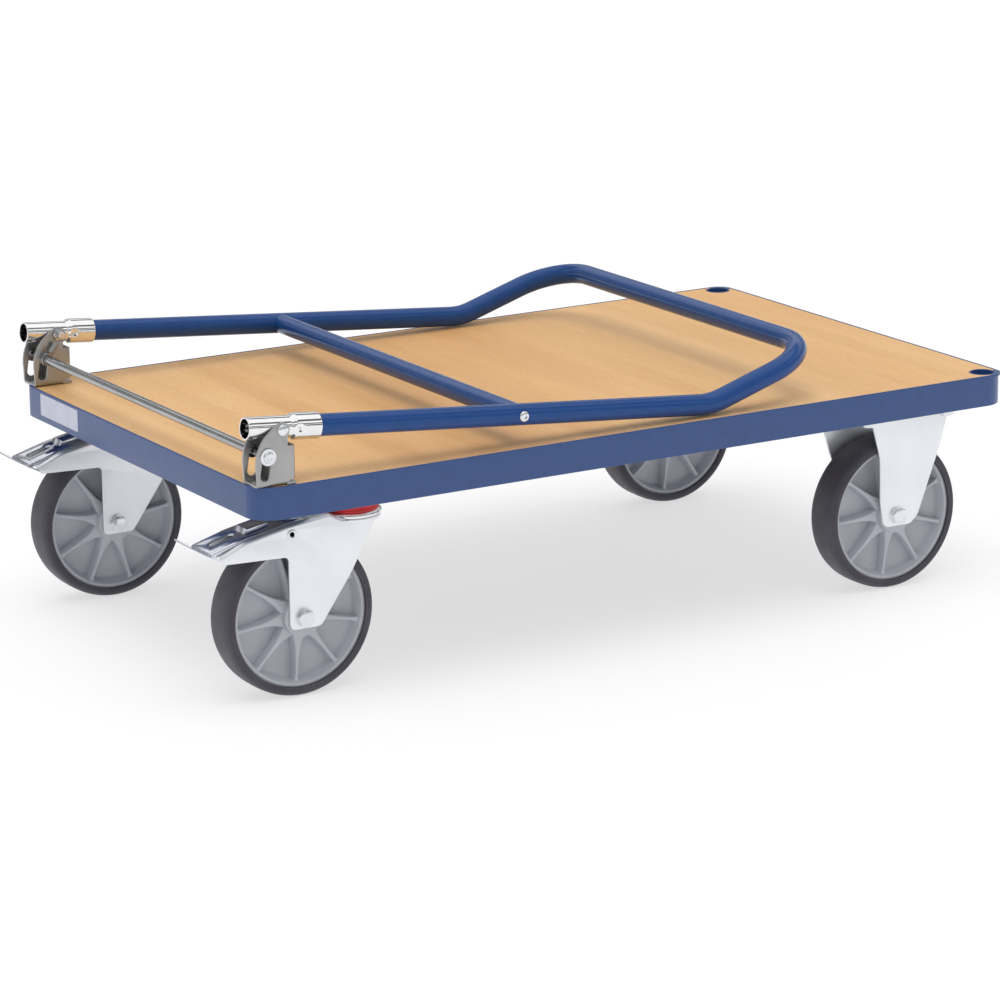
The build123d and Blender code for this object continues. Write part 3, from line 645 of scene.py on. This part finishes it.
BAR_END, TIP = 289.4, 330.0  # where the bar is turned down, and where it ends
line = [(-TIP, 0), (-TIP, 3.4), (-TIP + 0.8, 4), (-BAR_END, 4), (-BAR_END, 5.4),
        (-BAR_END + 0.8, 6), (0, 6)]
line += [(-a, r) for a, r in reversed(line[:-1])]
bm = lathe(bmesh.new(), line, bar, Y, 48)
for name, side in SIDES:  # thin collar close to the inner cheek
    lathe(bm, rounded([(0, 5.9), (0, 8.2), (1.8, 8.2), (1.8, 5.9)], [0, 0.6, 0.6, 0]),
          (bar.x, side * (BAR_END - 2.0), bar.z), Y * side, 40)
piece("release_bar_rod", bm, "release", "plated_fasteners", "release_bar", look=bar_steel)

bm = bmesh.new()
for name, side in SIDES:
    washer = rounded([(0.5, 4), (0.5, 10.4), (2.4, 10.4), (2.4, 6.9), (4.8, 6.3), (5.4, 3.2),
                      (4.6, 2.4), (4.6, 0), (3, 0), (3, 4)],
                     [0, 0.6, 0.8, 0.6, 1.2, 0.6, 0.4, 0, 0, 0])
    lathe(bm, washer, (bar.x, side * (CHEEK_OUT + SHEET), bar.z), Y * side, 48)
piece("bar_caps_turned", bm, "release", "plated_fasteners", "bar_caps")

# Return springs: hook round the pivot bolt, close coil, hook round the bar.
pull = Vector((bar.x - pivot.x, 0, bar.z - pivot.z))
reach, pull_dir = pull.length, pull.normalized()
across = Vector((pull_dir.z, 0, -pull_dir.x))
WIRE_R, COIL_R, PIN_LOOP_R, BAR_LOOP_R = 0.8, 4.3, 6.4, 7.2
TURNS, TURN_STEPS = 8, 16
coil_start, coil_end = 12.5, reach - 9.5
for name, side in SIDES:
    at_pin = Vector((pivot.x, side * (CHEEK_IN - SHEET - 7.5), pivot.z))
    at_bar = at_pin + pull
    path = []
    for k in range(25):  # loop at the bolt, open towards the coil
        a = math.radians(40 + 300 * k / 24)
        path.append(at_pin + (pull_dir * math.cos(a) + across * math.sin(a)) * PIN_LOOP_R)
    for k in range(TURNS * TURN_STEPS + 1):
        a = math.tau * k / TURN_STEPS - math.pi / 2
        along = coil_start + (coil_end - coil_start) * k / (TURNS * TURN_STEPS)
        path.append(at_pin + pull_dir * along + (across * math.cos(a) + Y * math.sin(a)) * COIL_R)
    for k in range(25):  # loop at the bar
        a = math.radians(220 + 300 * k / 24)
        path.append(at_bar + (pull_dir * math.cos(a) + across * math.sin(a)) * BAR_LOOP_R)
    spring = piece(f"return_spring_{name}_wire", tube(bmesh.new(), path, WIRE_R, 10), None,
                   "spring_steel", f"return_spring_{name}")
    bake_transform(spring)

# ==== wheels ====

RIBS = 9
RIB_START = {"swivel_near": 27, "swivel_far": 7, "fixed_near": 23, "fixed_far": 23}  # degrees
BORE = 10.05


def wheel(name):
    """Rim with its ribs, and the tyre, on their own body."""
    hub = middle(f"rim_{name}")
    body = f"wheel_{name}"
    half_section = [(29.6, 11.5), (29.6, 22.8), (28.4, 24), (5.5, 25.2), (3.2, 28), (3, 34),
                    (3, 70), (3.9, 72), (3.9, 76), (4.6, 78.2), (7, 80), (18.5, 82.6),
                    (20.2, 83.4), (20.5, 84.2), (20.5, 87.3), (20, 88)]
    section = [(-29.6, BORE + 0.6)] + [(-a, r) for a, r in half_section]
    section += [(a, r) for a, r in reversed(half_section)]
    section += [(29.6, BORE + 0.6), (29, BORE), (-29, BORE)]
    bm = lathe(bmesh.new(), section, hub, Y, 108)
    # Ribs on both faces, as (radius, half width, height): wide at the hub, thin in the middle,
    # flared again at the rim.
    stations = ((22, 9.0, 20.5), (25, 7.8, 19.6), (29, 6.2, 18.6), (35, 4.4, 17.8), (42, 3.1, 17.3),
                (52, 2.3, 17), (67, 1.9, 16.6), (76, 2.0, 16.4), (80, 2.7, 16.4), (83.5, 4.6, 16.6))
    for k in range(RIBS):
        angle = math.radians(RIB_START[name]) + math.tau * k / RIBS
        out = Vector((math.cos(angle), 0, math.sin(angle)))
        tangent = Vector((-math.sin(angle), 0, math.cos(angle)))
        for face in (-1, 1):
            rings = []
            for r, w, h in stations:
                shape = [(-w - 0.9, 1), (-w - 0.15, h - 1.2), (-w + 0.35, h - 0.3), (-w + 0.9, h),
                         (w - 0.9, h), (w - 0.35, h - 0.3), (w + 0.15, h - 1.2), (w + 0.9, 1)]
                rings.append([hub + out * r + tangent * t + Y * face * a for t, a in shape])
            skin(bm, rings)
    piece(f"rim_{name}_ribbed", bm, body, "grey_plastic", f"rim_{name}", sharp=40)

    half_section = [(24.0, 88.0), (24.5, 89.0), (24.8, 90.6), (24.4, 90.9), (24.8, 91.2),
                    (24.8, 92.8), (24.1, 93.1), (24.3, 93.5), (23.7, 95.0), (22.9, 95.2),
                    (23.0, 95.6), (21.7, 97.2), (19.7, 98.5), (16.5, 99.3), (11, 99.8), (0, 100)]
    section = [(-a, r) for a, r in half_section] + [(a, r) for a, r in reversed(half_section[:-1])]
    bm = lathe(bmesh.new(), section, hub, Y, 160)
    piece(f"tyre_{name}_moulded", bm, body, "rubber_tyre", f"tyre_{name}", sharp=50)


for kind in ("swivel", "fixed"):
    for name, side in SIDES:
        wheel(f"{kind}_{name}")


FORK_MID = 31.5  # middle of a fork's cheek sheet, from the wheel's middle plane
FORK_FACE = 33.0  # the cheek's outer face
AXLE_HOLE = 6.1


def axle_fasteners(bm_bolt, bm_nut, hub):
    """Hex bolt from the near side through both cheeks, with a nut on the far side."""
    head_at, nut_at = hub - Y * FORK_FACE, hub + Y * FORK_FACE
    hexagon(bm_bolt, (hub.x, hub.y - FORK_FACE - 0.9, hub.z), -Y, 19, 5.6, turn=math.radians(10))
    lathe(bm_bolt, rounded([(0, 0), (0, 11.4), (1.0, 11.4), (1.0, 0)], [0, 0.3, 0.4, 0]),
          head_at, -Y, 48)
    shank(bm_bolt, head_at, Y, 6, 77, 1.2, 40)
    hexagon(bm_nut, nut_at, Y, 19, 9.0, 6.0, True, turn=math.radians(20))


# ==== swivel casters ====

plate_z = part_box("swivel_plate_near")[1].z / MM  # top of the caster plates
SWIVEL_BOLTS, FIXED_BOLTS = (52.5, 40), (60, 52.5)  # a plate's bolts, each way from its middle
PIN_X, PIN_Z = -14.4, 205  # brake pin, from the axle and above the floor
# Crest of the fork's rolled top edge, as (x from the axle, height), with a bend radius at each point.
crest_line = ((-110.4, 191.0), (-76, 204.6), (-21, 216.4), (36, 223.6), (47, 217.5), (59, 212.5))
crest_bend = (0, 60, 60, 9, 20, 0)

for name, side in SIDES:
    swivel_body, pedal_body = f"swivel_{name}", f"pedal_{name}"
    hub = middle(f"rim_swivel_{name}")
    king = middle(f"king_pin_{name}")
    y = hub.y

    bm = bmesh.new()
    corners = rounded([(-70, -55), (70, -55), (70, 55), (-70, 55)], 8)
    plate(bm, corners, 4, plane_at((king.x, y, plate_z - 2), X, Y), bolt_holes(*SWIVEL_BOLTS))
    lathe(bm, rounded([(0, 9.02), (0, 26), (8, 24), (8, 9.02)], [0, 0, 2, 0]),
          (king.x, y, plate_z - 4), -Z, 64)
    piece(f"swivel_plate_{name}_pressed", bm, "chassis", "zinc_steel", f"swivel_plate_{name}")

    # Fork: flat cheeks whose top edge rolls inward, a head under the race, and a bridge.
    outline = rounded([(-103, 180.5), (-19.5, 177.5), (-19.5, 87), (22, 87), (64, 146), (100, 211)]
                      + [(px, pz - 4.8) for px, pz in reversed(crest_line)],
                      [5, 6, 7, 9, 60, 1, 0, 20, 9, 60, 60, 1.5], step=8)
    outline = [(hub.x + p.x, p.y) for p in outline]
    holes = [ring_points(hub.x, hub.z, AXLE_HOLE), ring_points(hub.x + PIN_X, PIN_Z, 4.02, 24)]
    fold = rounded([(0, 5.5), (0, 0), (6.4, 0), (6.4, 3), (3, 3), (3, 5.5)],
                   [0, 5, 0.5, 0.5, 2, 0], step=15)
    crest = dense(rounded([(px, 0, pz) for px, pz in crest_line], crest_bend, closed=False,
                          step=3), 12)
    bm = bmesh.new()
    for way in (-1, 1):
        plate(bm, outline, SHEET, side_view(y + way * FORK_MID), holes, bevel=0.7)
        rings = []
        for i, p in enumerate(crest):  # the rolled edge is shallower at both ends
            depth = min(1.0, 0.45 + i * 0.12, 0.35 + (len(crest) - 1 - i) * 0.14)
            rings.append([Vector((hub.x + p.x,
                                  y + way * (FORK_FACE - q.x * (depth if q.x > SHEET else 1)),
                                  p.z - q.y)) for q in fold])
        skin(bm, rings)
    head = [(0, 9.05), (0, 37), (4, 37), (4, 9.05)]
    lathe(bm, rounded(head, [0, 1, 1, 0]), (king.x, y, 207), Z, 72)
    web = rounded([(-41, -32.9), (17, -32.9), (17, 32.9), (-41, 32.9)], 0.5)
    plate(bm, web, 3.9, plane_at((king.x, y, 209), X, Y), [ring_points(0, 0, 30, 48)])
    bridge = [(10, 217.5), (31, 220.3), (38, 208), (42, 208), (40, 211), (33, 223.4), (10, 220.4)]
    plate(bm, rounded([(hub.x + a, b) for a, b in bridge], [0.5, 3, 2, 0.5, 1, 4, 0.5]), 60.2,
          side_view(y))
    piece(f"swivel_fork_{name}_pressed", bm, swivel_body, "zinc_steel", f"swivel_fork_{name}")

    ring = rounded([(0, 12), (0, 35.5), (1.2, 38.2), (3.6, 39), (5.8, 38.2), (7, 35.6), (7, 12)],
                   [0, 2, 1.5, 2, 1.5, 1, 0], step=15)
    bm = lathe(bmesh.new(), ring, (king.x, y, 211), Z, 96)
    piece(f"crown_ring_{name}_rolled", bm, swivel_body, "zinc_steel", f"crown_ring_{name}",
          look=chrome)

    seal = rounded([(0, 27.5), (0, 35.5), (2, 35.5), (4, 33.6), (15.5, 32.6), (15.5, 27.5)],
                   [0.3, 0.8, 0.8, 2, 0.8, 0.3])
    bm = lathe(bmesh.new(), seal, (king.x, y, 218), Z, 96)
    piece(f"dust_seal_{name}_lipped", bm, swivel_body, "red_plastic", f"dust_seal_{name}")

    bm = bmesh.new()
    for way in (-1, 1):
        collar = rounded([(0, 3), (0, 6.2), (0.7, 6.2), (1.3, 5.0), (1.3, 4.2), (0.4, 3)],
                         [0, 0.2, 0.5, 0.4, 0.5, 0.3])
        lathe(bm, collar, (hub.x + PIN_X, y + way * FORK_FACE, PIN_Z), Y * way, 40)
    piece(f"brake_pin_{name}_flared", bm, swivel_body, "zinc_steel", f"brake_pin_{name}")
    # The pin's bore is lined with a near-black sleeve of painted shade, so that it reads as a hole.
    bm = lathe(bmesh.new(), [(-33.2, 3), (-33.2, 4), (33.2, 4), (33.2, 3)],
               (hub.x + PIN_X, y, PIN_Z), Y, 32)
    piece(f"brake_pin_{name}_bore", bm, swivel_body, "zinc_steel", look=shade)

    bolt, nut = bmesh.new(), bmesh.new()
    axle_fasteners(bolt, nut, hub)
    piece(f"swivel_axle_bolt_{name}_hex", bolt, swivel_body, "plated_fasteners",
          f"swivel_axle_bolt_{name}")
    piece(f"swivel_axle_nut_{name}_hex", nut, swivel_body, "plated_fasteners",
          f"swivel_axle_nut_{name}")

    # Brake pedal: channel with rounded shoulders, a slot, a raised catch and a wide bowed lip.
    # Its stations are (x from the axle, height of the top sheet, depth of the walls).
    rings = []
    for u, z, depth in ((-2, 221, 21), (-21, 218.4, 19), (-48, 213.1, 15), (-76, 207.1, 11.2),
                        (-100, 200.2, 8.4), (-112, 196.6, 7.2), (-118, 194.8, 6.0)):
        shape = rounded([(-26, -depth), (-26, 0), (26, 0), (26, -depth), (23.5, -depth),
                         (23.5, -2.6), (-23.5, -2.6), (-23.5, -depth)],
                        [0.6, 3, 3, 0.6, 0.6, 0.8, 0.8, 0.6], step=18)
        rings.append([Vector((hub.x + u, y + p.x, z + p.y)) for p in shape])
    channel = skin(bmesh.new(), rings)
    hole = rounded([(-109, -5.5), (-75, -5.5), (-75, 5.5), (-109, 5.5)], 5.4)
    slot = prism([(hub.x + p.x, y + p.y) for p in hole], 60, plane_at((0, 0, 195), X, Y))
    channel = soften(boolean(channel, slot), 0.35, 50)
    rings = []
    for k in range(13):
        t = k / 6 - 1
        bow = 0.8 * t * t
        shape = rounded([(-113.6, 189.5), (-129.8, 197.9), (-129.8, 195.8), (-113.6, 187.2)],
                        [0.6, 0.9, 0.9, 0.6], step=30)
        pull_in = 3.0 * max(0, abs(t) - 0.8)
        rings.append([Vector((hub.x + p.x + pull_in, y + 48 * t, p.y + bow)) for p in shape])
    skin(channel, rings)
    catch = rounded([(-70, 206.8), (-64, 214.5), (-37, 219.4), (-34, 213)], [0.8, 2, 1.5, 0.5])
    plate(channel, [(hub.x + p.x, p.y) for p in catch], 26, side_view(y), bevel=1.2)
    piece(f"brake_pedal_{name}_pressed", channel, pedal_body, "zinc_steel", f"brake_pedal_{name}",
          look=pedal_steel)

# ==== fixed casters ====

mirrored = Matrix.Scale(-1, 4, Y)
bolt, nut = bmesh.new(), bmesh.new()
for name, side in SIDES:
    hub = middle(f"rim_fixed_{name}")
    y = hub.y
    axle_fasteners(bolt, nut, hub)
    bm = bmesh.new()
    for way in (-1, 1):  # the far cheek is the near one turned half round the upright axis
        outline = rounded([(-42, plate_z - 1), (-27, 180), (-25, 120), (-21, 86), (20, 86),
                           (32, 97), (64, 180), (81, plate_z - 1)],
                          [0.5, 60, 60, 8, 10, 10, 80, 0.5], step=8)
        sheet = plate(bmesh.new(), [(p.x, p.y) for p in outline], SHEET, side_view(FORK_MID),
                      [ring_points(0, hub.z, AXLE_HOLE)], bevel=0.7)
        # The left edge is bent back along a crease that runs down to the axle.
        crease_x, crease_z, crease_lean = -25, 236, 0.065
        for step in (0, 1.5, 3, 5):
            geom = sheet.verts[:] + sheet.edges[:] + sheet.faces[:]
            bmesh.ops.bisect_plane(sheet, geom=geom, dist=1e-7,
                                   plane_co=Vector((crease_x - step, 0, crease_z)) * MM,
                                   plane_no=Vector((-1, 0, -crease_lean)))
        for v in sheet.verts:
            past = crease_x + (crease_z - v.co.z / MM) * crease_lean - v.co.x / MM
            if past > 0:
                v.co.y -= min(past * past * 0.1, 3.8) * MM
        turn = Matrix.Rotation(math.pi if way < 0 else 0, 4, "Z")
        shift = Matrix.Translation(Vector((hub.x, y, 0)) * MM)
        bmesh.ops.transform(sheet, matrix=shift @ turn @ mirrored, verts=sheet.verts)
        mesh = bpy.data.meshes.new("cheek")
        tidy(sheet).to_mesh(mesh)
        sheet.free()
        bm.from_mesh(mesh)
        bpy.data.meshes.remove(mesh)
    corners = rounded([(-80.5, -65), (80.5, -65), (80.5, 65), (-80.5, 65)], 8)
    plate(bm, corners, 4, plane_at((hub.x, y, plate_z - 2), X, Y), bolt_holes(*FIXED_BOLTS))
    piece(f"fixed_fork_{name}_pressed", bm, "chassis", "zinc_steel", f"fixed_fork_{name}")
piece("fixed_axle_bolts_hex", bolt, "chassis", "plated_fasteners", "fixed_axle_bolts")
piece("fixed_axle_nuts_hex", nut, "chassis", "plated_fasteners", "fixed_axle_nuts")

# ==== caster fasteners ====

bolt, nut = bmesh.new(), bmesh.new()
for name, side in SIDES:
    king, hub = middle(f"king_pin_{name}"), middle(f"rim_fixed_{name}")
    for spot, (reach_x, reach_y) in ((king, SWIVEL_BOLTS), (hub, FIXED_BOLTS)):
        for i in (-1, 1):
            for j in (-1, 1):
                x, y = spot.x + i * reach_x, spot.y + j * reach_y
                hexagon(bolt, (x, y, plate_z - 4), -Z, 17, 6.4,
                        turn=math.radians(15 * i + 10 * j))
                shank(bolt, (x, y, plate_z - 4), Z, 5, 18, 1, 32)
                hexagon(nut, (x, y, plate_z + 3), Z, 17, 8, 5.0, True, turn=math.radians(20 * j))
piece("caster_bolts_hex", bolt, "chassis", "plated_fasteners", "caster_bolts")
piece("caster_nuts_hex", nut, "chassis", "plated_fasteners", "caster_nuts")

# ==== floor, light and camera ====

bm = bmesh.new()
bmesh.ops.create_grid(bm, x_segments=8, y_segments=8, size=20)
mesh = bpy.data.meshes.new("floor")
bm.to_mesh(mesh)
floor = bpy.data.objects.new("floor", mesh)
bpy.context.scene.collection.objects.link(floor)
# The floor gives off part of its own light, so that it reads as a white studio floor.
floor_white = simple("floor_white", (0.38, 0.375, 0.385), (0.39, 0.385, 0.395), 0.7, 0.8,
                     Emission_Color=(1, 1, 1, 1), Emission_Strength=0.62)
mesh.materials.append(floor_white)

world = bpy.data.worlds.new("studio")
bpy.context.scene.world = world
world.use_nodes = True
tree = world.node_tree
height = add(tree, "ShaderNodeSeparateXYZ",
             Vector=add(tree, "ShaderNodeTexCoord").outputs["Generated"]).outputs["Z"]
# Bright and dark bands by height, which the metal reflects as streaks.
sky = ramp(tree, height, (0.0, 1.0), (0.12, 1.0), (0.15, 0.06), (0.24, 0.06), (0.28, 0.85),
           (0.33, 0.9), (0.37, 0.10), (0.44, 0.14), (0.48, 1.2), (0.60, 1.2), (0.64, 0.10),
           (0.74, 0.12), (0.79, 1.15))
tree.links.new(sky, tree.nodes["Background"].inputs["Color"])
tree.nodes["Background"].inputs["Strength"].default_value = 1.0

light = bpy.data.lights.new("sun", "SUN")
light.energy, light.angle = 0.85, math.radians(45)
sun = bpy.data.objects.new("sun", light)
sun.visible_glossy = False  # or the chrome shows a white disc
sun.rotation_euler = Vector((0.12, 0.16, -1)).to_track_quat("-Z", "Y").to_euler()
bpy.context.scene.collection.objects.link(sun)
lens = bpy.data.cameras.new("camera")
lens.lens, lens.sensor_width = 148.44, 36
lens.shift_x = 0.002
camera = bpy.data.objects.new("camera", lens)
azimuth, elevation, roll = math.radians(-30.566), math.radians(14.837), math.radians(-0.68)
back = Vector((math.sin(azimuth) * math.cos(elevation), -math.cos(azimuth) * math.cos(elevation),
               math.sin(elevation)))
right = Vector((math.cos(azimuth), math.sin(azimuth), 0))
up = back.cross(right)
right, up = (right * math.cos(roll) + up * math.sin(roll),
             up * math.cos(roll) - right * math.sin(roll))
camera.matrix_world = Matrix.Translation((-2.6297, -4.4505, 1.4863)) @ \
    Matrix((right, up, back)).transposed().to_4x4()
bpy.context.scene.collection.objects.link(camera)
bpy.context.scene.camera = camera
bpy.context.scene.view_settings.view_transform = "Standard"
